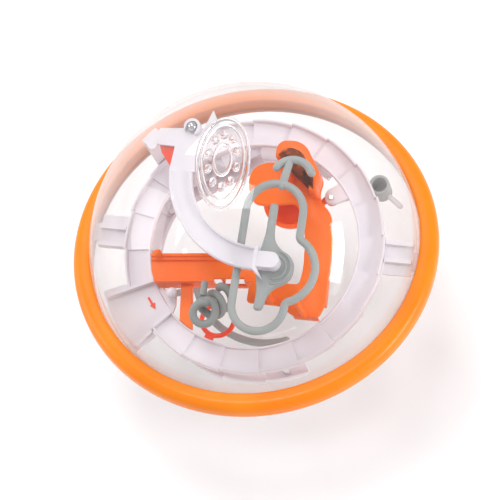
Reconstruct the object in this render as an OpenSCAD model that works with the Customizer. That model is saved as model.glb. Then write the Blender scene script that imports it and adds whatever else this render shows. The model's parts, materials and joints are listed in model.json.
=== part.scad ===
// Clear ball with a ball maze inside and a grip ring round its equator.
// +Z runs through the poles of the domes, +X along the two arms that carry the maze,
// and the origin is the centre of the ball. All sizes are in millimetres.

/* [Ball and grip ring] */
// Outer diameter of the grip ring
ring_d = 200; // [198:1:204]
// Height of the grip ring
ring_h = 12.8; // [12.4:0.2:14]
// Radius of the rounded rim of the grip ring
ring_round = 5.2; // [4.6:0.2:5.6]
// Outer diameter of the clear ball
ball_d = 180; // [179:0.5:181]
// Wall of each clear dome
dome_wall = 2; // [1.8:0.1:2.2]
// Width of the flange that the grip ring clamps
flange_w = 4; // [3.6:0.2:4.2]
// Thickness of each dome's flange
flange_h = 2; // [1.8:0.1:2.2]
// Screws round the grip ring
ring_screw_count = 8; // [6:1:10]

/* [Maze] */
// Tilt of the maze about the line of the arms
maze_tilt = 12; // [10:0.5:13]
// Outer radius of the stepped track
track_r_out = 72; // [71.5:0.1:72]
// Inner radius of the stepped track
track_r_in = 57; // [56.8:0.1:57.4]
// Steps round the stepped track
step_count = 19; // [16:1:22]
// Share of the circle taken by the start deck
deck_angle = 22; // [20:1:22]
// Height of the floor of the high slide above the middle plane of the maze
slide_z = 45; // [44.8:0.1:45.2]
// Height of the centre line of the grey rails
rail_z = 40; // [39.8:0.1:40]
// Diameter of the grey rails
rail_d = 4.3; // [4:0.1:4.4]

/* [Marble] */
// Diameter of the steel marble
marble_d = 5; // [4.8:0.1:5]

/* [Hidden] */
$fn = 96;
fit = 0.1;
eps = 0.01;
ring_r = ring_d / 2;
ring_half = ring_h / 2;
ball_r = ball_d / 2;
dome_r_in = ball_r - dome_wall;
round_r = ring_r - ring_round;
seam = 0.5;

screw_r = round_r + 1.8;
screw_shank = 2.2;
screw_head_d = 4.2;
screw_head_h = 1.6;
screw_seat = 3.6;
screw_reach = 3.8;

// Stepped track
floor_bottom = 1;
floor_top = 3;
wall_top = 6.4;
lip_top = 4.4;
wall_t = 1.4;
step_rib = 0.8;
deck_a0 = -154.5;
deck_a1 = deck_a0 + deck_angle;
step_a = (360 - deck_angle) / step_count;
deck_r_out = 86;
deck_flare = 2.5;
lug_c = [38.3, 31];

// Arms
arm_back = -8.5;
arm_front = 10;
arm_reach = 86.6;
tongue_half = 5;
tongue_end = 92.4;
rib_top = 5;

// High slide, an arc about slide_c
slide_c = [11, 28.5];
slide_r_in = 41;
slide_r_out = 53.4;
slide_path_r = 49.3;
slide_floor = 2;
slide_wall = 1.8;
slide_top_a = 184;
slide_end_a = 270;
start_a = 154.3;
marble_r = marble_d / 2;
marble_at = slide_c + slide_path_r * [cos(start_a), sin(start_a)];
cup_r = 4.5;
cup_bore = marble_r + 0.4;

// Grey rails
rail_r = rail_d / 2;
lobe_top = [16.4, 9.5, 15.3];
lobe_side = [23.6, -21.4, 18.8];
lobe_low = [15.1, -42.2, 14];
notch_r = 3;
tee_arc = [23, 28.1, 10.7];
hub_c = [21, -21.5];
hub_r = 10.2;
boss_r = 4.3;

// Orange chassis
deck_low = 8;
deck_high = 11;
hood_top = 26;
channel_turn = 5.7;
channel_front = -22.4;
channel_back = -6.7;
channel_end = 9;
channel_low = -3;
channel_floor = 9;

// Corkscrew
cork_start = [-17.6, -46, 24.5];
cork_step = [3.1, 5.4, -4.4];
cork_r = 5.4;
cork_tube = 2.2;
cork_turns = 3;
cork_axis = cork_step / norm(cork_step);
cork_side = cross(cork_axis, [0, 0, 1]) / norm(cross(cork_axis, [0, 0, 1]));
cork_up = cross(cork_side, cork_axis);
cork_rings = 14;
cork_sides = 10;

// Lower track
low_z = -30;
low_r_in = 58.5;
low_r_out = 69.5;

// ---------- shared shapes ----------

module in_maze() {
    rotate([maze_tilt, 0, 0]) children();
}

// A sector of a ring, from angle a0 over sweep a, radii r0 to r1, heights z0 to z1
module sector(r0, r1, z0, z1, a0, a) {
    rotate_extrude(angle = a, start = a0)
        translate([r0, z0]) square([r1 - r0, z1 - z0]);
}

// A rail bent along an arc in the level z; arc is [centre x, centre y, radius]
module bent_rail(arc, z, a0, a, r) {
    translate([arc[0], arc[1], 0]) sector(arc[2] - r, arc[2] + r, z - r, z + r, a0, a);
}

// A straight rail between two points in the level z
module straight_rail(p, q, z, r) {
    d = q - p;
    translate([p[0], p[1], z - r])
        rotate([0, 0, atan2(d[1], d[0])])
            translate([0, -r, 0]) cube([norm(d), 2 * r, 2 * r]);
}

module plate(outline, z0, z1) {
    translate([0, 0, z0]) linear_extrude(z1 - z0) polygon(outline);
}

// ---------- shell ----------

module ring_profile() {
    difference() {
        union() {
            translate([ball_r + fit, 0]) square([round_r - ball_r - fit, ring_half]);
            translate([round_r - eps, 0]) square([ring_round + eps, ring_half - ring_round]);
            intersection() {
                translate([round_r, ring_half - ring_round]) circle(r = ring_round);
                translate([round_r - eps, 0]) square([ring_round + eps, ring_half]);
            }
        }
        translate([ball_r, -1]) square([flange_w + fit, flange_h + fit + 1]);
        polygon([[ring_r - seam, -eps], [ring_r + 1, -eps], [ring_r + 1, seam], [ring_r, seam]]);
    }
}

module each_screw() {
    for (i = [0 : ring_screw_count - 1])
        rotate([0, 0, (i + 0.5) * 360 / ring_screw_count])
            translate([screw_r, 0, 0]) children();
}

// The space that the tongues of both arms take in the shell
module tongue_pockets() {
    in_maze()
        for (side = [0, 180])
            rotate([0, 0, side])
                translate([ball_r - 4, -tongue_half - fit, -fit])
                    cube([tongue_end + fit - ball_r + 4, 2 * (tongue_half + fit), 2 + 2 * fit]);
}

module ring_upper() {
    color("darkorange")
        difference() {
            rotate_extrude() ring_profile();
            each_screw()
                translate([0, 0, -1]) cylinder(d = screw_shank + 2 * fit, h = screw_reach + 1.4);
            tongue_pockets();
        }
}

module ring_lower() {
    color("darkorange")
        difference() {
            rotate_extrude() mirror([0, 1]) ring_profile();
            each_screw() {
                translate([0, 0, -ring_h]) cylinder(d = screw_shank + 2 * fit, h = 2 * ring_h);
                translate([0, 0, -ring_h])
                    cylinder(d = screw_head_d + 4 * fit, h = ring_h - screw_seat);
            }
            tongue_pockets();
        }
}

module screw(head_z, length, shank, head) {
    translate([0, 0, head_z]) {
        translate([0, 0, -0.5]) cylinder(d = shank, h = length + 0.5);
        difference() {
            translate([0, 0, -screw_head_h]) cylinder(d = head, h = screw_head_h);
            for (turn = [0, 90])
                rotate([0, 0, turn])
                    translate([-head * 0.3, -0.25, -screw_head_h - 1]) cube([head * 0.6, 0.5, 1.8]);
        }
    }
}

module ring_screws() {
    color("silver") each_screw() screw(-screw_seat, screw_seat + screw_reach, screw_shank, screw_head_d);
}

module dome_profile() {
    difference() {
        union() {
            intersection() {
                circle(r = ball_r, $fn = 200);
                square([ball_r + 1, ball_r + 1]);
            }
            square([ball_r + flange_w, flange_h]);
        }
        circle(r = dome_r_in, $fn = 200);
    }
}

module dome_upper() {
    color("white", 0.3)
        difference() {
            rotate_extrude() dome_profile();
            tongue_pockets();
        }
}

module dome_lower() {
    color("white", 0.3)
        difference() {
            mirror([0, 0, 1]) rotate_extrude() dome_profile();
            tongue_pockets();
        }
}

// ---------- white frame ----------

// One arm along +X, from the track to its tongue in the shell
module arm(v0, v1) {
    difference() {
        union() {
            translate([track_r_out - 2, v0, 0]) cube([arm_reach - track_r_out + 2, v1 - v0, 2]);
            translate([arm_reach - eps, -tongue_half, 0])
                cube([tongue_end - arm_reach + eps, 2 * tongue_half, 2]);
            for (v = [v1 - 2.5, (v0 + v1) / 2 - 3])
                translate([track_r_out - 2, v, 2 - eps])
                    cube([arm_reach - track_r_out + 2, 2.2, rib_top - 2 + eps]);
        }
        translate([0, 0, -5]) cylinder(r = track_r_out, h = 20);
    }
}

module arm_right() {
    color("whitesmoke") in_maze() arm(arm_back, arm_front);
}

module arm_left() {
    color("whitesmoke") in_maze() rotate([0, 0, 180]) arm(-arm_front, -arm_back);
}

module track_ring() {
    sweep = 360 - deck_angle;
    color("whitesmoke")
        in_maze()
            difference() {
                union() {
                    sector(track_r_in, track_r_out, floor_bottom, floor_top, deck_a1, sweep);
                    sector(track_r_out - wall_t, track_r_out, floor_top - eps, wall_top, deck_a1, sweep);
                    sector(track_r_in, track_r_in + 1.2, floor_top - eps, lip_top, deck_a1, sweep);
                    for (i = [1 : step_count - 1])
                        rotate([0, 0, deck_a1 + i * step_a])
                            translate([track_r_in + 1, -0.6, floor_top - eps])
                                cube([track_r_out - track_r_in - 2, 1.2, step_rib]);
                    // lug for the screw that holds the hood
                    translate([lug_c[0], lug_c[1], floor_bottom]) cylinder(r = 4, h = 3);
                    plate([[35.6, 34], [41, 28], [49, 31.5], [42, 39.5]], floor_bottom, floor_bottom + 3);
                }
                translate([lug_c[0], lug_c[1], -5]) cylinder(d = 2.4, h = 20);
            }
}

module start_deck() {
    flared = deck_angle + 2 * deck_flare;
    color("whitesmoke")
        in_maze() {
            sector(track_r_in, track_r_out + 2, floor_bottom, floor_top, deck_a0, deck_angle);
            sector(track_r_out, deck_r_out, floor_bottom, floor_top, deck_a0 - deck_flare, flared);
            rotate([0, 0, deck_a0])
                translate([track_r_in + 0.5, 0.2, floor_top - eps])
                    cube([deck_r_out - track_r_in - 2, 1.6, 4]);
            rotate([0, 0, deck_a1])
                translate([track_r_in + 0.5, -1.6, floor_top - eps])
                    cube([track_r_out - track_r_in - 1, 1.4, 2.4]);
            rotate([0, 0, deck_a1 + 1])
                translate([track_r_out + 0.2, -1.4, floor_top - eps])
                    cube([deck_r_out - track_r_out - 2, 1.4, 2.8]);
            // bracket for the ball-headed peg
            plate([[-48.5, -30], [-42, -28.5], [-38.4, -31], [-37.8, -37], [-38.8, -42]],
                  floor_bottom, floor_top);
        }
}

module start_arrow() {
    color("orangered")
        in_maze()
            translate([-51.1, -37.8, floor_top])
                rotate([0, 0, -51])
                    linear_extrude(0.4) {
                        translate([-4, -0.6]) square([5, 1.2]);
                        polygon([[0.5, -1.7], [4, 0], [0.5, 1.7]]);
                    }
}

module start_peg() {
    color("whitesmoke")
        in_maze()
            translate([-39.6, -32.3, floor_top]) {
                cylinder(r = 1.3, h = 6);
                translate([0, 0, 6]) sphere(d = 5.9);
            }
}

module platform() {
    color("white")
        in_maze()
            difference() {
                union() {
                    plate([[-54.6, 39.5], [-55, 43.5], [-51, 48.5], [-27, 50.5], [-25.6, 42],
                           [-25.6, 33], [-29.5, 22.2], [-43, 22.2], [-41.8, 39]],
                          slide_z - slide_floor, slide_z);
                    translate([marble_at[0], marble_at[1], slide_z - slide_floor])
                        cylinder(r = cup_r, h = slide_floor);
                    // hook at the low corner
                    translate([-54, 38.4, slide_z - slide_floor]) cylinder(r = 2.6, h = slide_floor + 1.4);
                }
                // the slide begins where this face ends
                translate([slide_c[0], slide_c[1], 0])
                    rotate([0, 0, slide_top_a]) translate([0, 0, -1]) cube([80, 80, 80]);
            }
}

module marble_cup() {
    color("white")
        in_maze()
            translate([marble_at[0], marble_at[1], slide_z])
                difference() {
                    cylinder(r = cup_r, h = 3.4);
                    translate([0, 0, -1]) cylinder(r = cup_bore, h = 6);
                    rotate([0, 0, start_a + 90 + 8])
                        translate([0, -cup_bore, -1]) cube([cup_r + 1, 2 * cup_bore, 6]);
                }
}

module high_slide() {
    a = slide_end_a - slide_top_a;
    low = slide_z - slide_floor;
    color("white")
        in_maze()
            translate([slide_c[0], slide_c[1], 0]) {
                sector(slide_r_in, slide_r_out, low, slide_z, slide_top_a, a);
                sector(slide_r_out - wall_t, slide_r_out, slide_z - eps, slide_z + slide_wall,
                       slide_top_a, a);
                sector(slide_r_in, slide_r_in + wall_t, slide_z - eps, slide_z + slide_wall, slide_top_a, a);
            }
}

// End wall of the slide, its tip and the round boss inside the grey hub
module slide_boss() {
    low = rail_z + 2;
    color("white")
        in_maze() {
            plate([[slide_c[0], -12.5], [12.8, -12.5], [12.8, -24], [16.2, -29.7], [slide_c[0], -25.6]],
                  slide_z - slide_floor, slide_z + 6);
            translate([hub_c[0] - 0.8, -19.7, low]) cylinder(r = boss_r, h = slide_z + 5 - low);
            translate([12.4, -19.7 - boss_r, low])
                cube([hub_c[0] - 0.8 - 12.4, 2 * boss_r, slide_z + 5 - low]);
        }
}

module side_fin() {
    color("white")
        in_maze()
            plate([[-27.6, 50.45], [-24, 61], [-21.5, 56.5], [-18.8, 51.3], [-25.4, 42], [-27, 50.5]],
                  slide_z - slide_floor, slide_z);
}

module wedge() {
    color("orangered")
        in_maze()
            plate([[-51, 40.4], [-42.5, 41.5], [-42.5, 27.5], [-49, 35.5]], 33, slide_z - slide_floor);
}

// Leg that carries the platform, outside the track
module platform_leg() {
    color("whitesmoke")
        in_maze() {
            sector(track_r_out, track_r_out + 1.6, floor_bottom, slide_z - slide_floor, 138, 8);
            sector(66, track_r_out + 0.5, slide_z - slide_floor - 2.4, slide_z - slide_floor, 138, 8);
        }
}

// ---------- marble ----------

module marble() {
    color("silver")
        in_maze()
            translate([marble_at[0], marble_at[1], slide_z + 0.05 + marble_r]) sphere(r = marble_r);
}

// ---------- grey rails ----------

function flat(v) = [v[0], v[1]];

// Centre of the small round notch that touches two lobes from outside
function notch(a, b) =
    let (d = flat(b) - flat(a), n = norm(d), ra = a[2] + notch_r, rb = b[2] + notch_r,
         along = (ra * ra - rb * rb + n * n) / (2 * n))
    flat(a) + along * d / n + sqrt(ra * ra - along * along) * [d[1], -d[0]] / n;

function heading(a, b) = atan2(b[1] - a[1], b[0] - a[0]);

// An arc of rail that stops just short of its ends, where a rail_joint closes it
module rail_arc(arc, a0, a) {
    trim = 23 / arc[2];
    bent_rail(arc, rail_z, a0 + trim, a - 2 * trim, rail_r);
}

module rail_joint(p, a) {
    translate([p[0], p[1], rail_z]) rotate([0, 0, a]) cube([1.6, rail_d + 0.2, rail_d + 0.2], center = true);
}

module cloud_rail() {
    right = lobe_top[0] + lobe_top[2];
    left = lobe_top[0] - lobe_top[2];
    low_notch = notch(lobe_low, lobe_side);
    low_a = heading(lobe_low, low_notch);
    side_a = heading(lobe_side, low_notch);
    reach = lobe_side[2] + notch_r;
    top_dx = right + notch_r - lobe_side[0];
    top_notch = [right + notch_r, lobe_side[1] + sqrt(reach * reach - top_dx * top_dx)];
    top_a = heading(lobe_side, top_notch);
    color("darkgray")
        in_maze() {
            rail_arc(lobe_top, 0, 180);
            straight_rail([left, lobe_low[1] + 0.4], [left, lobe_top[1] - 0.4], rail_z, rail_r);
            rail_arc(lobe_low, 180, 180 + low_a);
            rail_arc([low_notch[0], low_notch[1], notch_r], 180 + side_a, low_a - side_a);
            rail_arc(lobe_side, side_a, top_a - side_a);
            rail_arc([top_notch[0], top_notch[1], notch_r], 180, top_a);
            straight_rail([right, top_notch[1] + 0.4], [right, lobe_top[1] - 0.4], rail_z, rail_r);
            for (p = [[left, lobe_low[1]], [left, lobe_top[1]], [right, lobe_top[1]], [right, top_notch[1]]])
                rail_joint(p, 90);
            rail_joint(low_notch - notch_r * [cos(low_a), sin(low_a)], low_a + 90);
            rail_joint(low_notch - notch_r * [cos(side_a), sin(side_a)], side_a + 90);
            rail_joint(top_notch - notch_r * [cos(top_a), sin(top_a)], top_a + 90);
            // stem and crossbar
            straight_rail([18.6, 24.5], [20.6, 38], rail_z, rail_r);
            bent_rail(tee_arc, rail_z, 23, 126, rail_r);
        }
}

module inner_rail() {
    low = rail_z - rail_r;
    high = rail_z + 1.9;
    color("darkgray")
        in_maze() {
            translate([15.9, 11.3, low]) cylinder(r = rail_r, h = high - low);
            translate([15.9 - rail_r, 0, low]) cube([rail_d, 11.3, high - low]);
            plate([[13.9, 1], [17.9, 1], [18.6, -5], [21, -12], [11.3, -17.5], [12.6, -9.5],
                   [13.6, -5]],
                  low, high);
            plate([[12, -25.5], [29, -26], [22.6, -31], [18.6, -35.5], [17.2, -43], [12.8, -43],
                   [13.8, -34]],
                  low, high);
            translate([hub_c[0], hub_c[1], low]) cylinder(r = hub_r, h = rail_z + 2 - low);
            for (r = [hub_r - 1.4, hub_r - 4])
                translate([hub_c[0], hub_c[1], 0])
                    sector(r, r + 1.2, rail_z + 2 - eps, rail_z + 2.8, -95, 170);
        }
}

// ---------- corkscrew ----------

function cork_radial(t) = cos(360 * t) * cork_side + sin(360 * t) * cork_up;
function cork_point(t) = cork_start + t * cork_step + cork_r * cork_radial(t);
function cork_ring(t) = [
    for (j = [0 : cork_sides - 1])
        cork_point(t)
            + cork_tube * cos(360 * j / cork_sides) * cork_radial(t)
            + cork_tube * sin(360 * j / cork_sides) * cork_axis
];

module corkscrew() {
    count = cork_turns * cork_rings;
    points = [for (i = [0 : count]) each cork_ring(i / cork_rings)];
    color("gray")
        in_maze()
            polyhedron(
                points = points,
                faces = concat(
                    [[for (j = [0 : cork_sides - 1]) j]],
                    [for (i = [0 : count - 1], j = [0 : cork_sides - 1])
                        let (k = (j + 1) % cork_sides, a = i * cork_sides, b = a + cork_sides)
                            [a + j, b + j, b + k, a + k]],
                    [[for (j = [cork_sides - 1 : -1 : 0]) count * cork_sides + j]]
                )
            );
}

// Grey stub that joins the corkscrew to its neighbours
module corkscrew_post() {
    stub_z = cork_start[2] + 1;
    color("gray")
        in_maze()
            translate([-18.4, -36.4, stub_z]) {
                rotate([-90, 0, 0]) cylinder(r = 1.9, h = 6.6);
                translate([0, 6.6, 0]) sphere(r = 1.9);
            }
}

// ---------- orange chassis ----------

// A point given along and across the orange channel
function turned(x, y) = [
    x * cos(channel_turn) - y * sin(channel_turn),
    x * sin(channel_turn) + y * cos(channel_turn)
];

module orange_channel() {
    width = channel_back - channel_front;
    length = 64;
    color("darkorange")
        in_maze()
            difference() {
                rotate([0, 0, channel_turn])
                    translate([channel_end - length, channel_front, 0]) {
                        translate([0, 0, channel_floor - 2.5]) cube([length, width, 2.5]);
                        translate([0, 0, channel_low]) cube([length, 1.6, 13.4]);
                        translate([0, width - 1.8, channel_low]) cube([length, 1.8, 15]);
                        translate([0, width - 3.6, channel_floor - eps]) cube([length, 3, 1.8]);
                        for (x = [length * 0.25, length * 0.6])
                            translate([x, 0, channel_low + 3]) cube([1.6, width, 8]);
                    }
                // the far end follows the inner edge of the track
                difference() {
                    translate([-90, -60, -20]) cube([70, 120, 60]);
                    translate([0, 0, -21]) cylinder(r = track_r_in, h = 70);
                }
                // window where the corkscrew lets the marble in
                rotate([0, 0, channel_turn]) translate([-20, channel_front - 1, 1.5]) cube([17, 3.4, 12]);
            }
}

module channel_peg() {
    p = turned(-50.6, channel_back - 0.9);
    color("darkorange")
        in_maze()
            translate([p[0], p[1], 12]) {
                cylinder(r = 0.9, h = 2);
                translate([0, 0, 2.6]) sphere(d = 4.6);
            }
}

module orange_post() {
    color("darkorange")
        in_maze()
            intersection() {
                plate([turned(-38.6, channel_front), turned(-32.5, channel_front),
                       [-26.5, -50], [-33.5, -50]],
                      floor_bottom, floor_bottom + 4.4);
                cylinder(r = track_r_in, h = 20);
            }
}

module orange_deck() {
    outline = [
        [-6, 29], [-7, 36], [-5, 42], [1, 45.5], [9, 46], [9, 51], [12, 54], [19.5, 54.5], [25, 52],
        [34.6, 37.5], [33.2, 31], [34.6, 25.5], [41, 20], [43.5, 8], [44.8, -30.7], [42, -38.5],
        [28, -38.5], [21, -33.7], [2.2, -33.7], turned(0, channel_front),
        turned(channel_end, channel_front), [29, -21], [30.2, -12.8], [28.9, 3.9], [25.1, 18.7],
        [20.5, 23.9], [4, 21], [-2, 21.5]
    ];
    posts = [[34, -37], [16.9, 36.9], [29.1, 36.9], [15.6, -31.5]];
    color("darkorange")
        in_maze()
            difference() {
                union() {
                    plate(outline, deck_low, deck_high);
                    // skirt along the right side
                    plate([[43.5, 8], [44.8, -30.7], [43.2, -30.7], [41.9, 8]], deck_low - 5, deck_low + eps);
                    plate([[42, -38.5], [28, -38.5], [28.6, -37], [41.2, -37]], deck_low - 5, deck_low + eps);
                    for (p = posts)
                        translate([p[0], p[1], deck_low]) cylinder(r = 1.7, h = rail_z - rail_r - deck_low);
                    // ear under the lug of the track
                    translate([lug_c[0], lug_c[1], floor_bottom - 2.5]) cylinder(r = 4, h = 2.5);
                    plate([[36, 34.2], [41, 28], [33, 22], [30, 27]], floor_bottom - 2.5, floor_bottom);
                    plate([[33, 22], [30, 27], [28, 25.6], [31, 20.8]], floor_bottom - 2.5, deck_low + eps);
                }
                translate([lug_c[0], lug_c[1], -20]) cylinder(d = 2.4, h = 60);
            }
}

// Raised wall round the top and the right of the scoop
module orange_hood() {
    outer = [[8.8, 44], [8.8, 51], [12, 54.2], [19.5, 54.6], [25, 52], [34.5, 37.4], [33.2, 31], [34, 26.5]];
    inner = [[29.6, 26.5], [29.4, 31], [29.8, 35.2], [22.6, 46.4], [18, 48.4], [14, 48.2], [13, 44]];
    color("darkorange")
        in_maze()
            difference() {
                plate(concat(outer, inner), deck_high, hood_top);
                for (p = [[16.9, 36.9], [29.1, 36.9]])
                    translate([p[0], p[1], 0]) cylinder(r = 1.8, h = 60);
            }
}

module orange_hoop() {
    z = 1.8;
    c = [-13.7, -42.9];
    color("orangered")
        in_maze()
            intersection() {
                union() {
                    translate([c[0], c[1], z]) rotate_extrude() translate([8.8, 0]) circle(r = 1.3);
                    rotate([0, 0, atan2(c[1], c[0])])
                        translate([norm(c) + 8.6, -2.4, z - 0.8]) cube([6, 4.8, 1.8]);
                }
                translate([0, 0, -20]) cylinder(r = track_r_in, h = 50);
            }
}

// Pin through the lug and the ear under it
module track_screws() {
    color("silver")
        in_maze()
            translate([lug_c[0], lug_c[1], floor_bottom - 2.5]) {
                cylinder(d = 2.2, h = 5.5);
                translate([0, 0, 5.5]) cylinder(d = 3, h = 0.7);
            }
}

// ---------- lower half ----------

module lower_track() {
    a0 = 60;
    a = 240;
    color("whitesmoke")
        in_maze() {
            sector(low_r_in, low_r_out, low_z, low_z + 2, a0, a);
            sector(low_r_out - 1.4, low_r_out, low_z + 2 - eps, low_z + 5.5, a0, a);
            sector(low_r_in, low_r_in + 1.2, low_z + 2 - eps, low_z + 3.6, a0, a);
            for (i = [1 : 11])
                rotate([0, 0, a0 + i * a / 12])
                    translate([low_r_in + 1, -0.6, low_z + 2 - eps])
                        cube([low_r_out - low_r_in - 2, 1.2, step_rib]);
        }
}

module lower_posts() {
    color("whitesmoke")
        in_maze()
            for (a = [70, 128, 216, 290])
                rotate([0, 0, a])
                    translate([64, 0, low_z + 2])
                        cylinder(r = 1.9, h = floor_bottom - low_z - 2);
}

// Half bowl hung below the deck
module lower_scoop() {
    c = [14, 30];
    r = 15;
    color("darkorange")
        in_maze() {
            translate([c[0], c[1], -8])
                rotate_extrude()
                    difference() {
                        intersection() {
                            circle(r = r);
                            translate([0, -r]) square([r, r]);
                        }
                        circle(r = r - 2);
                    }
            translate([c[0] + 1, c[1] + r - 1, -8]) cylinder(r = 0.95, h = deck_low + 8);
        }
}

// Straight chute from the lower track to a chord near its far side
module lower_chute() {
    p = [-57, 26];
    color("whitesmoke")
        in_maze()
            translate([p[0], p[1], low_z + 3.6])
                rotate([0, 0, 33]) {
                    translate([-2, -4, 0]) cube([60, 8, 1.8]);
                    translate([-2, -4, 1.8 - eps]) cube([60, 1.3, 3]);
                    translate([-2, 2.7, 1.8 - eps]) cube([60, 1.3, 3]);
                }
}

module lower_rail() {
    r = 42;
    z = -45;
    reach = 62;
    color("darkgray")
        in_maze() {
            bent_rail([0, 0, r], z, 200, 92, rail_r);
            for (a = [200, 292])
                rotate([0, 0, a]) {
                    translate([r - rail_r, -rail_r, z - rail_r]) cube([reach - r + rail_r, rail_d, rail_d]);
                    translate([reach - 2, 0, z]) cylinder(r = 2, h = low_z - z);
                }
        }
}

module grey_cup() {
    color("gray")
        in_maze()
            rotate([0, 0, 33.5])
                translate([75.5, 0, -13])
                    difference() {
                        cylinder(r = 5.5, h = 14);
                        translate([0, 0, 2]) cylinder(r = 4, h = 20);
                    }
}

module stop_peg() {
    color("whitesmoke")
        in_maze()
            rotate([0, 0, 33.5])
                translate([75.5, 0, -8])
                    rotate([0, 90, -70]) {
                        translate([0, 0, 5.5]) cylinder(r = 1.5, h = 9);
                        translate([0, 0, 14.5]) sphere(r = 1.5);
                    }
}

ring_upper();
ring_lower();
ring_screws();
dome_upper();
dome_lower();
arm_left();
arm_right();
track_ring();
start_deck();
start_arrow();
start_peg();
platform();
marble_cup();
high_slide();
slide_boss();
side_fin();
wedge();
platform_leg();
marble();
cloud_rail();
inner_rail();
corkscrew();
corkscrew_post();
orange_channel();
channel_peg();
orange_post();
orange_deck();
orange_hood();
orange_hoop();
track_screws();
lower_track();
lower_posts();
lower_scoop();
lower_chute();
lower_rail();
grey_cup();
stop_peg();
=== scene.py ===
"""Looks for a clear ball maze: a hand-held clear ball with a grip ring and a marble maze inside.

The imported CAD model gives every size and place. Points of the maze are written in its own frame,
in millimetres, which is tilted about the line of the arms: maze() turns them into scene metres.
"""

import json
import math

import bmesh
import bpy
from mathutils import Matrix, Vector


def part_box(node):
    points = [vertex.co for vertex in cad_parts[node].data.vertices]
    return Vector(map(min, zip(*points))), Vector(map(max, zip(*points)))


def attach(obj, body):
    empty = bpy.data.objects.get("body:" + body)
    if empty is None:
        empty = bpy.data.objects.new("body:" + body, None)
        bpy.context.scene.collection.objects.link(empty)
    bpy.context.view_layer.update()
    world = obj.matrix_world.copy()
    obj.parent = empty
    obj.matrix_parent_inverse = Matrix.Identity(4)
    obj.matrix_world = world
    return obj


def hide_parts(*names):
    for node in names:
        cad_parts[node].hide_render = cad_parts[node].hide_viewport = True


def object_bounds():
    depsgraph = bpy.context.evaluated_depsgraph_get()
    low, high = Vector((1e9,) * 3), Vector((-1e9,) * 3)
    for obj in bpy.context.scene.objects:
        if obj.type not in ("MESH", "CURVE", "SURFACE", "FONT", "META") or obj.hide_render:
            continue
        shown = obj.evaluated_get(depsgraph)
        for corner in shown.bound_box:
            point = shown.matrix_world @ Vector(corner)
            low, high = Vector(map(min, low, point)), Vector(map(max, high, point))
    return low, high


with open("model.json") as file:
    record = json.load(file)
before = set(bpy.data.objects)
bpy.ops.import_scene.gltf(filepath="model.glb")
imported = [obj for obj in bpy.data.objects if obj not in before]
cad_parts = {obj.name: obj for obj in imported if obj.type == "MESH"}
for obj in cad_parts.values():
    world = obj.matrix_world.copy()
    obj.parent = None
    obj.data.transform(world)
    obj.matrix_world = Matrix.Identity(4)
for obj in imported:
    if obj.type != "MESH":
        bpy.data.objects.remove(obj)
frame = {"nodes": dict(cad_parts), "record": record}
cad_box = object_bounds()

MM = 0.001
TILT = Matrix.Rotation(math.radians(12), 4, "X")
TO_SCENE = Matrix.Scale(MM, 4)
MAZE = TO_SCENE @ TILT
SLOT_OF = {s["node"]: s["material_slot"] for s in frame["record"]["subparts"]}


# ---------- materials ----------

# Waves per metre of the plastic's marks, and the depth of its grain in metres
FLOW_MARKS, GLOSS_PATCHES, GRAIN = 38, 260, 2600
GRAIN_DEPTH = 0.00003


def linear(code):
    """A hex colour as linear RGBA."""
    values = [int(code[i : i + 2], 16) / 255 for i in (0, 2, 4)]
    return [v / 12.92 if v < 0.04045 else ((v + 0.055) / 1.055) ** 2.4 for v in values] + [1.0]


def new_material(name):
    material = bpy.data.materials.new(name)
    material.use_nodes = True
    tree = material.node_tree
    tree.nodes.clear()
    output = tree.nodes.new("ShaderNodeOutputMaterial")
    return material, tree, output


def noise(tree, scale, detail):
    """A noise texture in object coordinates; scale is in waves per metre."""
    coords = tree.nodes.new("ShaderNodeTexCoord")
    node = tree.nodes.new("ShaderNodeTexNoise")
    node.inputs["Scale"].default_value = scale
    node.inputs["Detail"].default_value = detail
    tree.links.new(coords.outputs["Object"], node.inputs["Vector"])
    return node.outputs["Fac"]


def spread(tree, value, low, high, start=0.3, end=0.7):
    """value from start to end, mapped to low to high."""
    node = tree.nodes.new("ShaderNodeMapRange")
    node.inputs["From Min"].default_value = start
    node.inputs["From Max"].default_value = end
    node.inputs["To Min"].default_value = low
    node.inputs["To Max"].default_value = high
    tree.links.new(value, node.inputs["Value"])
    return node.outputs["Result"]


def blend_colours(tree, value, first, second):
    ramp = tree.nodes.new("ShaderNodeValToRGB")
    ramp.color_ramp.elements[0].position = 0.3
    ramp.color_ramp.elements[0].color = first
    ramp.color_ramp.elements[1].position = 0.7
    ramp.color_ramp.elements[1].color = second
    tree.links.new(value, ramp.inputs["Fac"])
    return ramp.outputs["Color"]


def bumps(tree, height, distance):
    node = tree.nodes.new("ShaderNodeBump")
    node.inputs["Strength"].default_value = 0.6
    node.inputs["Distance"].default_value = distance
    tree.links.new(height, node.inputs["Height"])
    return node.outputs["Normal"]


def plastic(name, light, dark, rough, coat=0.0, gloss=0.12):
    """Moulded plastic: slow flow marks in the colour, a fine grain and uneven gloss."""
    material, tree, output = new_material(name)
    shader = tree.nodes.new("ShaderNodeBsdfPrincipled")
    flow = noise(tree, FLOW_MARKS, 3)
    tree.links.new(blend_colours(tree, flow, linear(dark), linear(light)), shader.inputs["Base Color"])
    gloss_patches = spread(tree, noise(tree, GLOSS_PATCHES, 4), rough - 0.05, rough + 0.07)
    tree.links.new(gloss_patches, shader.inputs["Roughness"])
    tree.links.new(bumps(tree, noise(tree, GRAIN, 2), GRAIN_DEPTH), shader.inputs["Normal"])
    shader.inputs["Coat Weight"].default_value = coat
    shader.inputs["Coat Roughness"].default_value = 0.12
    shader.inputs["Specular IOR Level"].default_value = gloss
    tree.links.new(shader.outputs["BSDF"], output.inputs["Surface"])
    return material


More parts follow.
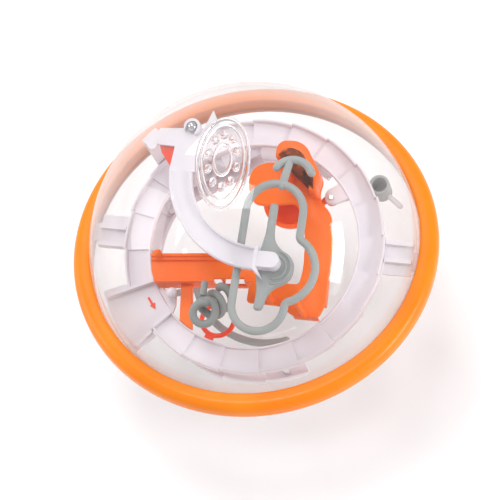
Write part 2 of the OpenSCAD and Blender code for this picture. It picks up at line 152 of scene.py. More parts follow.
def metal(name, code, rough, brush):
    material, tree, output = new_material(name)
    shader = tree.nodes.new("ShaderNodeBsdfPrincipled")
    shader.inputs["Metallic"].default_value = 1.0
    marks = noise(tree, brush, 5)
    tree.links.new(
        blend_colours(tree, marks, linear(code), [v * 0.85 for v in linear(code)[:3]] + [1]),
        shader.inputs["Base Color"],
    )
    tree.links.new(spread(tree, marks, rough * 0.8, rough * 1.3), shader.inputs["Roughness"])
    tree.links.new(shader.outputs["BSDF"], output.inputs["Surface"])
    return material


def math_node(tree, operation, value, operand):
    node = tree.nodes.new("ShaderNodeMath")
    node.operation = operation
    tree.links.new(value, node.inputs[0])
    node.inputs[1].default_value = operand
    return node.outputs["Value"]


def clear_plastic(name, veil_low, veil_high, glossy=True):
    """A clear moulded skin: see-through face on, milkier at grazing angles, with a gloss of its own."""
    material, tree, output = new_material(name)
    through = tree.nodes.new("ShaderNodeBsdfTransparent")
    body = tree.nodes.new("ShaderNodeBsdfPrincipled")
    body.inputs["Base Color"].default_value = linear("DED5D2")
    body.inputs["Specular IOR Level"].default_value = 0.0
    tree.links.new(spread(tree, noise(tree, 30, 3), 0.35, 0.5), body.inputs["Roughness"])
    facing = tree.nodes.new("ShaderNodeLayerWeight")
    facing.inputs["Blend"].default_value = 0.5
    grazing = math_node(tree, "POWER", facing.outputs["Facing"], 2.2)
    veil = spread(tree, grazing, veil_low, veil_high, 0.0, 1.0)
    veiled = tree.nodes.new("ShaderNodeMixShader")
    tree.links.new(veil, veiled.inputs["Fac"])
    tree.links.new(through.outputs["BSDF"], veiled.inputs[1])
    tree.links.new(body.outputs["BSDF"], veiled.inputs[2])
    if not glossy:
        tree.links.new(veiled.outputs["Shader"], output.inputs["Surface"])
        return material
    shine = tree.nodes.new("ShaderNodeBsdfGlossy")
    shine.inputs["Color"].default_value = (1, 1, 1, 1)
    tree.links.new(spread(tree, noise(tree, 18, 2), 0.035, 0.075), shine.inputs["Roughness"])
    tree.links.new(bumps(tree, noise(tree, 22, 2), 0.0004), shine.inputs["Normal"])
    steep = math_node(tree, "POWER", facing.outputs["Facing"], 5.0)
    mirrored = spread(tree, steep, 0.035, 0.5, 0.0, 1.0)
    mix = tree.nodes.new("ShaderNodeMixShader")
    tree.links.new(mirrored, mix.inputs["Fac"])
    tree.links.new(veiled.outputs["Shader"], mix.inputs[1])
    tree.links.new(shine.outputs["BSDF"], mix.inputs[2])
    tree.links.new(mix.outputs["Shader"], output.inputs["Surface"])
    return material


def relief_plastic(name):
    """The thicker clear plastic of the moulded relief, which bends what is seen through it."""
    material, tree, output = new_material(name)
    shader = tree.nodes.new("ShaderNodeBsdfPrincipled")
    shader.inputs["Base Color"].default_value = (0.98, 0.97, 0.96, 1)
    shader.inputs["Transmission Weight"].default_value = 1.0
    shader.inputs["IOR"].default_value = 1.45
    tree.links.new(spread(tree, noise(tree, 200, 2), 0.02, 0.06), shader.inputs["Roughness"])
    tree.links.new(bumps(tree, noise(tree, 180, 2), 0.0001), shader.inputs["Normal"])
    tree.links.new(shader.outputs["BSDF"], output.inputs["Surface"])
    return material


MATERIALS = {
    "orange_plastic": plastic("orange_moulded", "FD7414", "F8680C", rough=0.3),
    "red_plastic": plastic("red_moulded", "F4481C", "EC3E14", rough=0.3),
    "white_plastic": plastic("white_moulded", "E6E0E5", "DED8DE", rough=0.33),
    "grey_plastic": plastic("grey_moulded", "A3A7A4", "989C9A", rough=0.36),
    "dark_grey_plastic": plastic("dark_grey_moulded", "9A9E9B", "8E9290", rough=0.4),
    "clear_plastic": clear_plastic("clear_moulded", 0.012, 0.5),
    "ring_orange": plastic("ring_moulded", "FA8A14", "F6800E", rough=0.32, coat=0.05, gloss=0.25),
    "relief": relief_plastic("clear_relief"),
    "screw_steel": metal("zinc_plated", "B9B9B6", 0.3, 900),
    "marble_steel": metal("polished_steel", "D6D8DB", 0.07, 120),
}

INNER_SKIN = clear_plastic("clear_inner_skin", 0.005, 0.3, glossy=False)


# ---------- shapes ----------

# Degrees at which an edge counts as sharp and faces as one flat; millimetres within which points merge
SHARP, FLAT_WITHIN, SAME_POINT = 32, 1.5, 0.002


def finish_mesh(name, bm, slot, matrix=MAZE, body="ball", replaces=(), crease=SHARP, material=None):
    """Turns a bmesh, in millimetres, into a piece of the object."""
    bmesh.ops.recalc_face_normals(bm, faces=bm.faces)
    for face in bm.faces:
        face.smooth = True
    for edge in bm.edges:
        if len(edge.link_faces) == 2 and edge.calc_face_angle() > math.radians(crease):
            edge.smooth = False
    bm.transform(matrix)
    mesh = bpy.data.meshes.new(name)
    bm.to_mesh(mesh)
    bm.free()
    piece = bpy.data.objects.new(name, mesh)
    bpy.context.scene.collection.objects.link(piece)
    mesh.materials.append(MATERIALS[material or slot])
    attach(piece, body)
    if replaces:
        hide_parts(*replaces)
    return piece


def bevelled(piece, width):
    """Rounds the piece's sharp edges by a width in millimetres."""
    modifier = piece.modifiers.new("edges", "BEVEL")
    modifier.width = width * MM
    modifier.segments = 2
    modifier.limit_method = "ANGLE"
    modifier.angle_limit = math.radians(SHARP)
    modifier.use_clamp_overlap = True
    modifier.harden_normals = True


def loops_mesh(loops, closed=False):
    """A skin over a row of equal closed loops of points, capped unless closed."""
    bm = bmesh.new()
    rows = [[bm.verts.new(p) for p in loop] for loop in loops]
    pairs = list(zip(rows, rows[1:])) + ([(rows[-1], rows[0])] if closed else [])
    for first, second in pairs:
        for i in range(len(first)):
            j = (i + 1) % len(first)
            bm.faces.new((first[i], first[j], second[j], second[i]))
    if not closed:
        bm.faces.new(list(reversed(rows[0])))
        bm.faces.new(rows[-1])
    return bm


def tube_mesh(points, radius, sides=18, closed=False):
    """A round tube along points, with rounded ends unless closed."""
    points = [Vector(p) for p in points]
    count = len(points)
    tangents = []
    for i in range(count):
        before = points[i - 1] if (closed or i) else points[i]
        after = points[(i + 1) % count] if (closed or i < count - 1) else points[i]
        tangents.append((after - before).normalized())
    normal = tangents[0].orthogonal().normalized()
    frames = []
    for i, tangent in enumerate(tangents):
        if i:
            normal = tangents[i - 1].rotation_difference(tangent) @ normal
            normal = (normal - tangent * normal.dot(tangent)).normalized()
        frames.append((points[i], tangent, normal, radius))
    if not closed:
        steps = [math.radians(a) for a in (80, 60, 40, 20)]
        head = [
            (points[0] - tangents[0] * radius * math.sin(a), tangents[0], frames[0][2], radius * math.cos(a))
            for a in steps
        ]
        tail = [
            (points[-1] + tangents[-1] * radius * math.sin(a), tangents[-1], frames[-1][2],
             radius * math.cos(a))
            for a in reversed(steps)
        ]
        frames = head + frames + tail
    loops = []
    for centre, tangent, side, r in frames:
        other = tangent.cross(side)
        loops.append([
            centre + r * (math.cos(t) * side + math.sin(t) * other)
            for t in (2 * math.pi * k / sides for k in range(sides))
        ])
    return loops_mesh(loops, closed)


def arc(centre, radius, start, end, z, steps=None):
    """Points along an arc in the level z, angles in degrees."""
    steps = steps or max(4, int(abs(end - start) / 4))
    return [
        (centre[0] + radius * math.cos(math.radians(a)), centre[1] + radius * math.sin(math.radians(a)), z)
        for a in (start + (end - start) * i / steps for i in range(steps + 1))
    ]


def line(first, second, steps=8):
    return [Vector(first).lerp(Vector(second), i / steps) for i in range(steps + 1)]


def without_repeats(points, least=0.2):
    kept = [Vector(points[0])]
    for p in points[1:]:
        if (Vector(p) - kept[-1]).length > least:
            kept.append(Vector(p))
    return kept


def lathe_mesh(profile, start, sweep, steps):
    """A closed (radius, height) profile turned about the origin; angles in degrees."""
    full = abs(sweep - 360) < 1e-6
    loops = []
    for i in range(steps if full else steps + 1):
        a = math.radians(start + sweep * i / steps)
        loops.append([(r * math.cos(a), r * math.sin(a), z) for r, z in profile])
    return loops_mesh(loops, full)


def rounded(corners, radius, steps=4):
    """A closed 2-D outline with its corners rounded; a corner may carry its own radius."""
    out = []
    count = len(corners)
    for i, corner in enumerate(corners):
        here = Vector(corner[:2])
        r = corner[2] if len(corner) > 2 else radius
        before = Vector(corners[i - 1][:2])
        after = Vector(corners[(i + 1) % count][:2])
        back, ahead = (before - here), (after - here)
        reach = min(r, back.length * 0.45, ahead.length * 0.45)
        p, q = here + back.normalized() * reach, here + ahead.normalized() * reach
        for k in range(steps + 1):
            t = k / steps
            out.append(tuple((1 - t) ** 2 * p + 2 * t * (1 - t) * here + t**2 * q))
    return out


def slab_mesh(outline, low, high, edge=0.5, steps=3):
    """A flat plate with the given outline and rounded upper and lower edges."""
    count = len(outline)
    area = sum(outline[i - 1][0] * outline[i][1] - outline[i][0] * outline[i - 1][1] for i in range(count))
    turn = 1 if area > 0 else -1
    inward = []
    for i in range(count):
        along = Vector(outline[(i + 1) % count]) - Vector(outline[i - 1])
        along.normalize()
        inward.append(Vector((-along.y, along.x)) * turn)
    loops = []
    levels = []
    for k in range(steps + 1):
        a = math.pi / 2 * k / steps
        levels.append((edge * (1 - math.sin(a)), low + edge * (1 - math.cos(a))))
    for k in range(steps + 1):
        a = math.pi / 2 * k / steps
        levels.append((edge * (1 - math.cos(a)), high - edge * (1 - math.sin(a))))
    for inset, z in levels:
        loops.append([(p[0] + inset * n.x, p[1] + inset * n.y, z) for p, n in zip(outline, inward)])
    return loops_mesh(loops)


def softened(node, width):
    """A copy of a CAD node with its edges rounded, which stands for the node."""
    source = frame["nodes"][node]
    bm = bmesh.new()
    bm.from_mesh(source.data)
    bmesh.ops.remove_doubles(bm, verts=bm.verts, dist=SAME_POINT * MM)
    bmesh.ops.dissolve_limit(bm, angle_limit=math.radians(FLAT_WITHIN), verts=bm.verts, edges=bm.edges)
    piece = finish_mesh(node + "_moulded", bm, SLOT_OF[node], Matrix.Identity(4), replaces=(node,))
    bevelled(piece, width)


# ---------- shell ----------

RING_R, RING_HALF, RING_ROUND, BALL_R, WALL = 100.0, 6.4, 5.2, 90.0, 2.0
ROUND_R = RING_R - RING_ROUND
SCREWS, SCREW_R, WELL_R, WELL_Z = 8, 96.6, 2.3, -8.6


def ring_profile():
    """Upper half of the grip ring, as (radius, height)."""
    points = [(BALL_R + 0.1, 0.0), (RING_R - 0.12, 0.0), (RING_R, 0.1)]
    for i in range(13):
        a = math.radians(90 * i / 12)
        points.append((ROUND_R + RING_ROUND * math.cos(a), RING_HALF - RING_ROUND + RING_ROUND * math.sin(a)))
    points += [(BALL_R + 1.2, RING_HALF), (BALL_R + 0.5, RING_HALF - 0.25), (BALL_R + 0.15, RING_HALF - 0.7)]
    return points


def grip_ring():
    """Both halves of the grip ring; the wells of the screws are cut into the lower one."""
    finish_mesh(
        "grip_ring_upper", lathe_mesh(ring_profile(), 0, 360, 240), "orange_plastic", TO_SCENE,
        replaces=("ring_upper",), crease=40, material="ring_orange",
    )
    flipped = [(r, -z) for r, z in ring_profile()]
    lower = finish_mesh(
        "grip_ring_lower", lathe_mesh(flipped, 0, 360, 240), "orange_plastic", TO_SCENE,
        replaces=("ring_lower",), crease=40, material="ring_orange",
    )
    cutter_mesh = bmesh.new()
    for k in range(SCREWS):
        a = 2 * math.pi * (k + 0.5) / SCREWS
        place = Matrix.Translation((SCREW_R * math.cos(a), SCREW_R * math.sin(a), WELL_Z))
        bmesh.ops.create_cone(
            cutter_mesh, cap_ends=True, segments=32, radius1=WELL_R, radius2=WELL_R, depth=10, matrix=place,
        )
    cutter_mesh.transform(TO_SCENE)
    mesh = bpy.data.meshes.new("screw_wells")
    cutter_mesh.to_mesh(mesh)
    cutter_mesh.free()
    cutter = bpy.data.objects.new("screw_wells", mesh)
    bpy.context.scene.collection.objects.link(cutter)
    modifier = lower.modifiers.new("wells", "BOOLEAN")
    modifier.operation = "DIFFERENCE"
    modifier.solver = "EXACT"
    modifier.object = cutter
    bpy.context.view_layer.update()
    cut = bpy.data.meshes.new_from_object(lower.evaluated_get(bpy.context.evaluated_depsgraph_get()))
    lower.modifiers.clear()
    lower.data = cut
    bpy.data.objects.remove(cutter)


def dome_profile(sign):
    """Outer and inner profile of a dome; sign is 1 for the upper one and -1 for the lower one."""
    outer = [(BALL_R + 4, 0.0), (BALL_R + 4, 1.8), (BALL_R + 3.8, 2.0), (BALL_R + 0.02, 2.0)]
    steps = 64
    outer += [
        (BALL_R * math.cos(math.radians(a)), BALL_R * math.sin(math.radians(a)))
        for a in (2 + 87.2 * i / steps for i in range(steps + 1))
    ]
    inner = [
        ((BALL_R - WALL) * math.cos(math.radians(a)), (BALL_R - WALL) * math.sin(math.radians(a)))
        for a in (89.2 * (1 - i / steps) for i in range(steps + 1))
    ]
    return [(r, sign * z) for r, z in outer], [(r, sign * z) for r, z in inner]


def dome(name, sign, node):
    """A clear half ball: outer and inner skins closed at the pole and at the flange."""
    outer, inner = dome_profile(sign)
    segments = 192
    bm = bmesh.new()

    def skin(profile):
        rows = []
        for r, z in profile:
            rows.append([
                bm.verts.new((
                    r * math.cos(2 * math.pi * k / segments), r * math.sin(2 * math.pi * k / segments), z
                ))
                for k in range(segments)
            ])
        for first, second in zip(rows, rows[1:]):
            for k in range(segments):
                j = (k + 1) % segments
                bm.faces.new((first[k], first[j], second[j], second[k]))
        return rows

    outside = skin(outer)
    inside = skin(inner)
    for rows, height in ((outside[-1], BALL_R), (inside[0], BALL_R - WALL)):
        pole = bm.verts.new((0, 0, sign * height))
        for k in range(segments):
            bm.faces.new((rows[k], rows[(k + 1) % segments], pole))
    for k in range(segments):
        j = (k + 1) % segments
        bm.faces.new((outside[0][k], outside[0][j], inside[-1][j], inside[-1][k]))
    for face in bm.faces:
        if face.calc_center_median().length < BALL_R - WALL / 2:
            face.material_index = 1
    piece = finish_mesh(name, bm, "clear_plastic", TO_SCENE, replaces=(node,), crease=40)
    piece.data.materials.append(INNER_SKIN)


def on_dome(x, y, lift):
    """A point over the top of the upper dome, lifted above its outer skin."""
    return Vector((x, y, math.sqrt(BALL_R**2 - x * x - y * y))).normalized() * (BALL_R + lift)


def relief():
    """Plain ovals and round bosses moulded at the top of the upper dome."""
    centre, tall, wide, turn = (-4.5, 1.6), 27.0, 13.4, math.radians(8)
    ovals = ((1.0, 1.1, 1.3), (0.82, 0.85, 1.0), (0.34, 0.9, 1.1))
    bosses, boss_reach, boss_r, boss_rise, base_lift = 10, 0.58, 2.1, 1.1, 0.02

    def place(x, y, lift):
        px = centre[0] + x * math.cos(turn) - y * math.sin(turn)
        py = centre[1] + x * math.sin(turn) + y * math.cos(turn)
        return on_dome(px, py, lift)

    bm = bmesh.new()
    for scale, width, height in ovals:
        steps, across = 72, 8
        rows = []
        for i in range(steps):
            t = 2 * math.pi * i / steps
            row = []
            for k in range(across + 1):
                s = -1 + 2 * k / across
                x = (wide * scale + s * width) * math.cos(t)
                y = (tall * scale + s * width) * math.sin(t)
                row.append(bm.verts.new(place(x, y, base_lift + height * math.sqrt(max(0.0, 1 - s * s)))))
            rows.append(row)
        for i in range(steps):
            a, b = rows[i], rows[(i + 1) % steps]
            for k in range(across):
                bm.faces.new((a[k], a[k + 1], b[k + 1], b[k]))
            bm.faces.new((a[across], a[0], b[0], b[across]))
    for i in range(bosses):
        t = 2 * math.pi * (i + 0.5) / bosses
        x, y, r = wide * boss_reach * math.cos(t), tall * boss_reach * math.sin(t), boss_r
        rings, sides = 5, 20
        previous = None
        for k in range(rings):
            s = 1 - k / rings
            row = [
                bm.verts.new(place(
                    x + r * s * math.cos(q), y + 1.4 * r * s * math.sin(q),
                    base_lift + boss_rise * math.sqrt(1 - s * s)
                ))
                for q in (2 * math.pi * j / sides for j in range(sides))
            ]
            if previous:
                for j in range(sides):
                    bm.faces.new((previous[j], previous[(j + 1) % sides], row[(j + 1) % sides], row[j]))
            else:
                bm.faces.new(row)
            previous = row
        top = bm.verts.new(place(x, y, base_lift + boss_rise))
        for j in range(sides):
            bm.faces.new((previous[j], previous[(j + 1) % sides], top))
    finish_mesh("dome_relief", bm, "clear_plastic", TO_SCENE, crease=60, material="relief")


grip_ring()
dome("clear_dome_upper", 1, "dome_upper")
dome("clear_dome_lower", -1, "dome_lower")
relief()


# ---------- white track ----------

DECK_END = -132.5
STEPS = 19
STEP_A = (360 - 22) / STEPS


def track_loop(angle, share, r_in, r_out, low, wall, lip):
    """One section of the stepped track; share is how far along its step it is."""
    floor = low + 1.55 + 1.15 * share
    out = r_out - 0.9 * (1 - share)
    shape = [
        (r_in, low), (r_in, lip - 0.4), (r_in + 0.35, lip), (r_in + 0.85, lip),
        (r_in + 1.2, lip - 0.35), (r_in + 1.35, floor + 0.15), (r_in + 1.7, floor), (out - 1.9, floor),
        (out - 1.55, floor + 0.15), (out - 1.4, wall - 0.5), (out - 1.1, wall - 0.1), (out - 0.7, wall),
        (out - 0.3, wall - 0.1), (out, wall - 0.5), (out, low + 0.4), (out - 0.4, low),
    ]
    a = math.radians(angle)
    return [(r * math.cos(a), r * math.sin(a), z) for r, z in shape]


def stepped_track(name, start, step, count, r_in, r_out, low, wall, lip, node):
    """A ring of count steps from the angle start, each step degrees long."""
    loops = []
    per_step = 7
    for i in range(count):
        for k in range(per_step + 1):
            share = k / per_step
            inset = 0.12 if k == 0 else (-0.12 if k == per_step else 0)
            loops.append(track_loop(start + step * (i + share) + inset, share, r_in, r_out, low, wall, lip))
    finish_mesh(name, loops_mesh(loops), "white_plastic", replaces=(node,), crease=28)


stepped_track("stepped_track", DECK_END, STEP_A, STEPS, 57, 72, 1, 6.4, 4.4, "track_ring")
stepped_track("lower_stepped_track", 60, 20, 12, 58.5, 69.5, -30, -24.5, -26.4, "lower_track")
lug = rounded([(34.6, 31, 3), (36, 27.6, 3), (40.5, 27.4, 3), (49, 31.5), (42, 39.5), (35.2, 34.4, 3)], 1.0)
finish_mesh("track_lug", slab_mesh(lug, 1, 4, 0.5), "white_plastic")

for white_node, width in (
    ("arm_left", 0.4), ("arm_right", 0.4), ("start_deck", 0.4), ("start_peg", 0.25), ("platform", 0.45),
    ("marble_cup", 0.3), ("slide_boss", 0.7), ("side_fin", 0.4), ("platform_leg", 0.3),
    ("lower_posts", 0.3), ("lower_chute", 0.3), ("stop_peg", 0.2),
):
    softened(white_node, width)


def high_slide():
    """The broad white slide: a shallow trough bent about its centre."""
    low, floor, top, r_in, r_out = 43.0, 45.0, 46.8, 41.0, 53.4
    shape = [
        (r_in, low + 0.4), (r_in, top - 0.7), (r_in + 0.25, top - 0.2), (r_in + 0.7, top),
        (r_in + 1.15, top - 0.2), (r_in + 1.4, top - 0.7), (r_in + 1.5, floor + 0.35),
        (r_in + 1.8, floor + 0.08), (r_in + 2.3, floor), (r_out - 2.3, floor),
        (r_out - 1.8, floor + 0.08), (r_out - 1.5, floor + 0.35), (r_out - 1.4, top - 0.7),
        (r_out - 1.15, top - 0.2), (r_out - 0.7, top), (r_out - 0.25, top - 0.2), (r_out, top - 0.7),
        (r_out, low + 0.4), (r_out - 0.4, low), (r_in + 0.4, low),
    ]
    bm = lathe_mesh(shape, 184, 86, 48)
    bm.transform(Matrix.Translation((11, 28.5, 0)))
    finish_mesh("high_slide_band", bm, "white_plastic", replaces=("high_slide",), crease=50)


high_slide()


# ---------- grey rails ----------

RAIL_R, RAIL_Z = 2.15, 40.0
LOBE_TOP, LOBE_SIDE, LOBE_LOW, NOTCH_R = (16.4, 9.5, 15.3), (23.6, -21.4, 18.8), (15.1, -42.2, 14.0), 3.0


def notch_between(a, b):
    """Centre of the small arc that joins the outer sides of two lobes (x, y, radius)."""
    d = Vector((b[0] - a[0], b[1] - a[1]))
    n, ra, rb = d.length, a[2] + NOTCH_R, b[2] + NOTCH_R
    along = (ra * ra - rb * rb + n * n) / (2 * n)
    side = math.sqrt(ra * ra - along * along)
    return Vector((a[0], a[1])) + along * d / n + side * Vector((d.y, -d.x)) / n


def heading(a, b):
    return math.degrees(math.atan2(b[1] - a[1], b[0] - a[0]))


def cloud_rail():
    right, left = LOBE_TOP[0] + LOBE_TOP[2], LOBE_TOP[0] - LOBE_TOP[2]
    low_notch = notch_between(LOBE_LOW, LOBE_SIDE)
    low_a, side_a = heading(LOBE_LOW, low_notch), heading(LOBE_SIDE, low_notch)
    reach = LOBE_SIDE[2] + NOTCH_R
    top_dx = right + NOTCH_R - LOBE_SIDE[0]
    top_notch = Vector((right + NOTCH_R, LOBE_SIDE[1] + math.sqrt(reach * reach - top_dx * top_dx)))
    top_a = heading(LOBE_SIDE, top_notch)
    z = RAIL_Z
    path = arc(LOBE_TOP, LOBE_TOP[2], 0, 180, z)
    path += line((left, LOBE_TOP[1], z), (left, LOBE_LOW[1], z), 20)
    path += arc(LOBE_LOW, LOBE_LOW[2], 180, 360 + low_a, z)
    path += arc(low_notch, NOTCH_R, 180 + low_a, 180 + side_a, z, 8)
    path += arc(LOBE_SIDE, LOBE_SIDE[2], side_a, top_a, z)
    path += arc(top_notch, NOTCH_R, 180 + top_a, 180, z, 8)
    path += line((right, top_notch.y, z), (right, LOBE_TOP[1], z), 6)
    path = without_repeats(path)
    if (path[0] - path[-1]).length < 0.3:
        path.pop()
    finish_mesh(
        "cloud_rail_loop", tube_mesh(path, RAIL_R, closed=True), "grey_plastic",
        replaces=("cloud_rail",), crease=60,
    )
    stem = line((18.2, 23.6, z), (20.4, 38, z), 8)
    finish_mesh("cloud_rail_stem", tube_mesh(stem, RAIL_R), "grey_plastic", crease=60)
    bar = arc((23, 28.1), 10.7, 23, 149, z)
    finish_mesh("cloud_rail_bar", tube_mesh(bar, RAIL_R), "grey_plastic", crease=60)


def inner_rail():
    spoon = [
        (13.75, 13.4, 2.1), (18.05, 13.4, 2.1), (17.9, 0, 4), (18.6, -6, 4), (22.5, -11.2, 4),
        (28.2, -13.9, 4), (31.2, -18.5, 4), (31.2, -24.6, 4), (28, -29.6, 4), (22.6, -32, 4),
        (19.2, -36.5, 4), (17.4, -45, 2), (12.8, -45, 2), (13.4, -35, 4), (11.9, -27.5, 4),
        (11.2, -18.5, 4), (12.4, -10.5, 4), (13.6, -4, 4),
    ]
    low, high = RAIL_Z - RAIL_R, RAIL_Z + 2.0
    finish_mesh(
        "inner_rail_spoon", slab_mesh(rounded(spoon, 2, 5), low, high, 1.3, 4), "grey_plastic",
        replaces=("inner_rail",), crease=60,
    )
    for k, r in enumerate((8.9, 6.4)):
        ridge = arc((21, -21.5), r, -95, 75, high + 0.2)
        finish_mesh("inner_rail_ridge_%d" % (k + 1), tube_mesh(ridge, 0.65, 12), "grey_plastic", crease=60)


def lower_rail():
    z = -45.0
    finish_mesh(
        "lower_rail_arc", tube_mesh(arc((0, 0), 42, 200, 292, z), RAIL_R), "grey_plastic",
        replaces=("lower_rail",), crease=60,
    )
    for k, a in enumerate((200, 292)):
        c, s = math.cos(math.radians(a)), math.sin(math.radians(a))
        path = line((42 * c, 42 * s, z), (57.5 * c, 57.5 * s, z), 8)
        path += [(59.2 * c, 59.2 * s, z + 0.8), (60 * c, 60 * s, z + 2.6)]
        path += line((60 * c, 60 * s, z + 4), (60 * c, 60 * s, -32), 6)
        finish_mesh(
            "lower_rail_leg_%d" % (k + 1), tube_mesh(without_repeats(path), 2.0), "grey_plastic",
            crease=60,
        )


cloud_rail()
inner_rail()
lower_rail()


# ---------- corkscrew ----------


def corkscrew():
    """A round wire wound into a coil, whose first turn is a level ring and the rest runs down and back."""
    ring_at, step, r, tube = Vector((-16.8, -45.6, 24)), Vector((3.1, 5.4, -4.4)), 5.7, 2.15
    turns, ring_turns = 3.35, 0.7
    first_axis, last_axis = Vector((-0.21, 0.26, -0.94)).normalized(), step.normalized()
    count = 128
    path = []
    for i in range(count + 1):
        t = turns * i / count
        past = max(0.0, t - ring_turns)
        share = min(1.0, past / 1.1)
        axis = first_axis.lerp(last_axis, share * share * (3 - 2 * share)).normalized()
        side = axis.cross(Vector((0, 0, 1))).normalized()
        up = side.cross(axis)
        a = 2 * math.pi * (t + 0.12)
        path.append(ring_at + step * past + r * (math.cos(a) * side + math.sin(a) * up))
    finish_mesh(
        "corkscrew_coil", tube_mesh(path, tube, 20), "dark_grey_plastic", replaces=("corkscrew",),
        crease=60,
    )


corkscrew()
softened("corkscrew_post", 0.3)
softened("grey_cup", 0.35)


# ---------- orange chassis and small parts ----------

CHANNEL_TURN = math.radians(5.7)


def turned(x, y):
    """A point given along and across the orange channel."""
    c, s = math.cos(CHANNEL_TURN), math.sin(CHANNEL_TURN)
    return (x * c - y * s, x * s + y * c)


def orange_deck():
    outline = [
        (-6, 29, 3), (-7, 36, 4), (-5, 42, 4), (1, 45.5, 4), (9, 46, 2), (9, 51, 2), (12, 54, 3),
        (19.5, 54.5, 4), (25, 52, 4), (34.6, 37.5, 4), (33.2, 31, 3), (34.6, 25.5, 4), (41, 20, 4),
        (43.5, 8, 4), (44.8, -30.7, 3), (42, -38.5, 3), (28, -38.5, 3), (21, -33.7, 3), (2.2, -33.7, 2),
        (*turned(0, -22.4), 1), (*turned(9, -22.4), 1), (29, -21, 2), (30.2, -12.8, 4), (28.9, 3.9, 5),
        (25.1, 18.7, 4), (20.5, 23.9, 4), (4, 21, 4), (-2, 21.5, 3),
    ]
    finish_mesh(
        "orange_deck_plate", slab_mesh(rounded(outline, 2, 5), 8, 11, 0.7), "orange_plastic",
        replaces=("orange_deck",), crease=50,
    )
    for k, strip in enumerate((
        [(43.5, 8), (44.8, -30.7), (43.2, -30.7), (41.9, 8)],
        [(42, -38.5), (28, -38.5), (28.6, -37), (41.2, -37)],
    )):
        finish_mesh(
            "orange_skirt_%d" % (k + 1), slab_mesh(rounded(strip, 0.6, 3), 3, 8.4, 0.3),
            "orange_plastic", crease=50,
        )
    for k, (u, v) in enumerate(((34, -37), (16.9, 36.9), (29.1, 36.9), (15.6, -31.5))):
        profile = [
            (0.01, 10.5), (2.6, 10.5), (2.1, 11.6), (1.75, 12.6), (1.7, 37.3), (1.4, 37.85), (0.01, 37.85),
        ]
        bm = lathe_mesh(profile, 0, 360, 28)
        bmesh.ops.translate(bm, verts=bm.verts, vec=(u, v, 0))
        finish_mesh("orange_column_%d" % (k + 1), bm, "orange_plastic", crease=50)
    ear = [
        (35.2, 29), (37.5, 27.2, 2), (41.5, 28.4, 3), (42.2, 33, 3), (38.5, 35, 3), (35.4, 33.6, 3),
        (30, 27, 2), (28, 25.6, 1), (31, 20.8, 1), (33, 22, 2),
    ]
    finish_mesh("orange_ear", slab_mesh(rounded(ear, 1.5, 5), -1.5, 1, 0.4), "orange_plastic", crease=50)
    rise = [(33, 22), (30, 27), (28, 25.6), (31, 20.8)]
    finish_mesh(
        "orange_ear_rise", slab_mesh(rounded(rise, 0.8, 4), -1.5, 8.4, 0.3), "orange_plastic",
        crease=50,
    )


def orange_hood():
    wall = [
        (8.8, 44, 2), (8.8, 51, 3), (12, 54.2, 3), (19.5, 54.6, 5), (25, 52, 4), (34.5, 37.4, 4),
        (33.2, 31, 3), (34, 26.5, 2), (29.6, 26.5, 2), (29.4, 31, 3), (29.8, 35.2, 3), (22.6, 46.4, 4),
        (18, 48.4, 3), (14, 48.2, 2), (13, 44, 2),
    ]
    finish_mesh(
        "orange_hood_wall", slab_mesh(rounded(wall, 2, 6), 11, 26, 1.6, 5), "orange_plastic",
        replaces=("orange_hood",), crease=50,
    )


orange_deck()
orange_hood()
for orange_node, width in (
    ("orange_channel", 0.5), ("channel_peg", 0.2), ("orange_post", 0.4), ("orange_hoop", 0.3),
    ("lower_scoop", 0.3), ("start_arrow", 0.12), ("wedge", 0.5), ("ring_screws", 0.15), ("track_screws", 0.2),
):
    softened(orange_node, width)


# ---------- marble ----------


def marble():
    low, high = (Vector(p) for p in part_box("marble"))
    bm = bmesh.new()
    bmesh.ops.create_uvsphere(bm, u_segments=48, v_segments=32, radius=(high - low).x / 2)
    bm.transform(Matrix.Translation((low + high) / 2))
    finish_mesh(
        "steel_marble", bm, "marble_steel", Matrix.Identity(4), body="marble", replaces=("marble",),
        crease=80,
    )


marble()


# ---------- stage, light and camera ----------

# The camera's lens in millimetres, its distance from the ball's centre and its sideways moves in metres
LENS, DISTANCE, SHIFT_RIGHT, SHIFT_UP = 172.4, 1.3, 2.73 * MM, 1.41 * MM


def floor():
    bm = bmesh.new()
    bmesh.ops.create_grid(bm, x_segments=4, y_segments=4, size=6)
    mesh = bpy.data.meshes.new("floor")
    bm.to_mesh(mesh)
    bm.free()
    ground = bpy.data.objects.new("floor", mesh)
    bpy.context.scene.collection.objects.link(ground)
    ground.location.z = cad_box[0][2] - 0.0002
    material, tree, output = new_material("pale_floor")
    shader = tree.nodes.new("ShaderNodeBsdfPrincipled")
    tree.links.new(
        blend_colours(tree, noise(tree, 3, 2), linear("F8F8F7"), linear("FAFAFA")),
        shader.inputs["Base Color"],
    )
    shader.inputs["Roughness"].default_value = 0.8
    tree.links.new(shader.outputs["BSDF"], output.inputs["Surface"])
    mesh.materials.append(material)


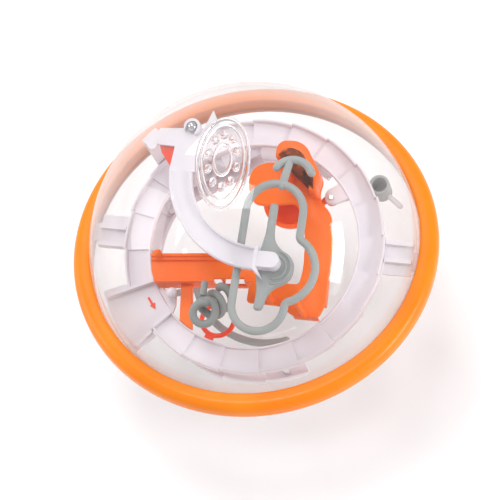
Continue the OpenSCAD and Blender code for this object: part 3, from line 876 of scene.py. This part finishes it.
def camera_axes():
    """Right, up and towards-the-camera directions of the view."""
    az, el, roll = math.radians(25), math.radians(60.03), math.radians(-16.5)
    towards = Vector((math.sin(az) * math.cos(el), -math.cos(az) * math.cos(el), math.sin(el)))
    right = Vector((math.cos(az), math.sin(az), 0))
    up = towards.cross(right)
    return (
        math.cos(roll) * right + math.sin(roll) * up,
        -math.sin(roll) * right + math.cos(roll) * up,
        towards,
    )


def oriented(right, up, back, place):
    matrix = Matrix((right, up, back)).transposed().to_4x4()
    matrix.translation = place
    return matrix


def camera():
    right, up, towards = camera_axes()
    data = bpy.data.cameras.new("camera")
    data.lens = LENS
    data.sensor_width = 36
    data.clip_end = 50
    view = bpy.data.objects.new("camera", data)
    bpy.context.scene.collection.objects.link(view)
    view.matrix_world = oriented(right, up, towards, towards * DISTANCE - SHIFT_RIGHT * right - SHIFT_UP * up)
    bpy.context.scene.camera = view


def softbox(name, direction, distance, width, height, power):
    """An area light that faces the ball from a direction given along the camera's axes."""
    right, up, towards = camera_axes()
    back = (direction[0] * right + direction[1] * up + direction[2] * towards).normalized()
    data = bpy.data.lights.new(name, "AREA")
    data.shape = "RECTANGLE"
    data.size, data.size_y = width, height
    data.energy = power
    light = bpy.data.objects.new(name, data)
    bpy.context.scene.collection.objects.link(light)
    across = up.cross(back).normalized()
    light.matrix_world = oriented(across, back.cross(across), back, back * distance)


def lighting():
    world = bpy.data.worlds.new("studio")
    bpy.context.scene.world = world
    world.use_nodes = True
    background = world.node_tree.nodes["Background"]
    background.inputs["Color"].default_value = (0.96, 0.97, 1.0, 1)
    background.inputs["Strength"].default_value = 0.6
    softbox("right_strip", (0.83, -0.05, 0.56), 1.3, 0.2, 0.8, 9)
    softbox("top_panel", (-0.22, 0.56, 0.8), 1.5, 0.6, 0.45, 6.5)
    softbox("left_fill", (-0.95, 0.25, 0.2), 1.6, 0.8, 0.9, 8)
    softbox("far_key", (-0.35, 0.9, 0.25), 1.6, 0.9, 0.5, 6)
    bpy.context.scene.view_settings.view_transform = "Standard"


floor()
camera()
lighting()
